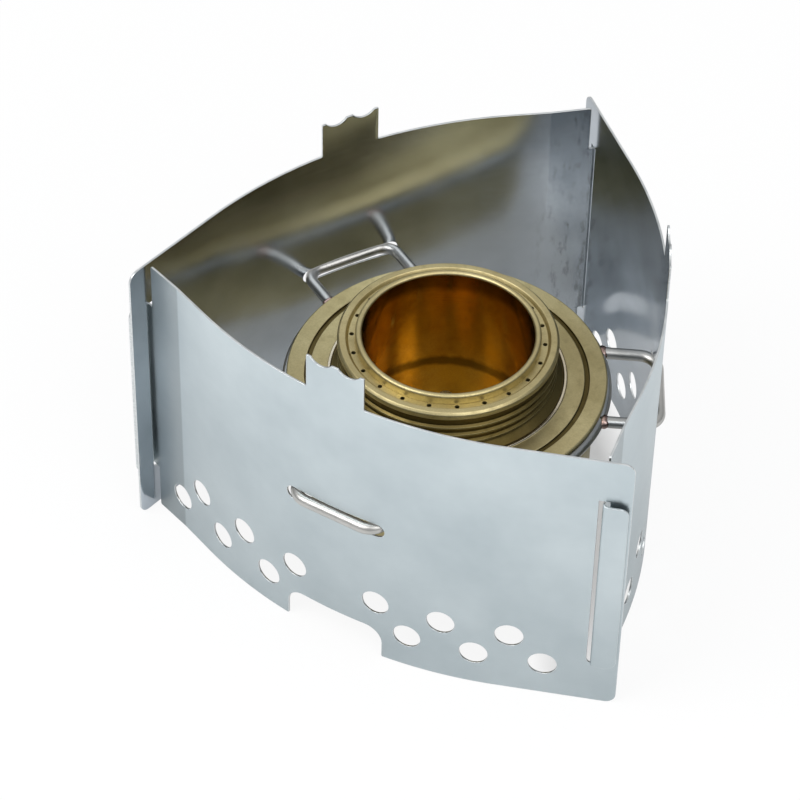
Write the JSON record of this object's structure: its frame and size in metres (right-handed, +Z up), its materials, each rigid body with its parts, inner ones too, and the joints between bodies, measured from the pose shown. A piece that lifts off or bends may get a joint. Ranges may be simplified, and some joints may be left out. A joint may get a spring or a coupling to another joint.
{
  "type": "alcohol stove",
  "caption": "Alcohol stove: a triangular windshield of hooked sheet panels with pot tabs, a wire ring held in their slots, and a lift-out brass spirit burner.",
  "frame": {"origin": "the burner's axis at the height of the panels' bottom edges", "axes": "+Z up along the burner's axis; -Y toward the middle of the front panel; the other two panels follow at 120 degree turns"},
  "size_m": [0.1273, 0.1244, 0.0866],
  "materials": {
    "panel_steel": "satin",
    "wire_steel": "bright",
    "weld_steel": "heat-tinted",
    "burner_brass": "satin",
    "wick_cotton": "soft"
  },
  "bodies": {
    "windshield_front": {"front_panel": "panel_steel", "support_ring": "wire_steel", "front_loop": "wire_steel", "right_loop": "wire_steel", "rear_loop": "wire_steel", "weld_beads": "weld_steel"},
    "windshield_right": {"right_panel": "panel_steel"},
    "windshield_rear": {"rear_panel": "panel_steel"},
    "burner": {"burner_cup": "burner_brass", "burner_shoulder": "burner_brass", "burner_well": "burner_brass", "wick": "wick_cotton"}
  },
  "joints": [
    {"name": "right_swing", "type": "hinge", "parent": "windshield_front", "child": "windshield_right", "pos_m": [0.05981, -0.034, 0], "axis": [0, 0, -1], "range_deg": [0, 45]},
    {"name": "rear_swing", "type": "hinge", "parent": "windshield_front", "child": "windshield_rear", "pos_m": [-0.05935, -0.0348, 0], "axis": [0, 0, 1], "range_deg": [0, 45]},
    {"name": "burner_lift", "type": "slide", "parent": "windshield_front", "child": "burner", "axis": [0, 0, 1], "range_m": [0, 0.08]}
  ]
}
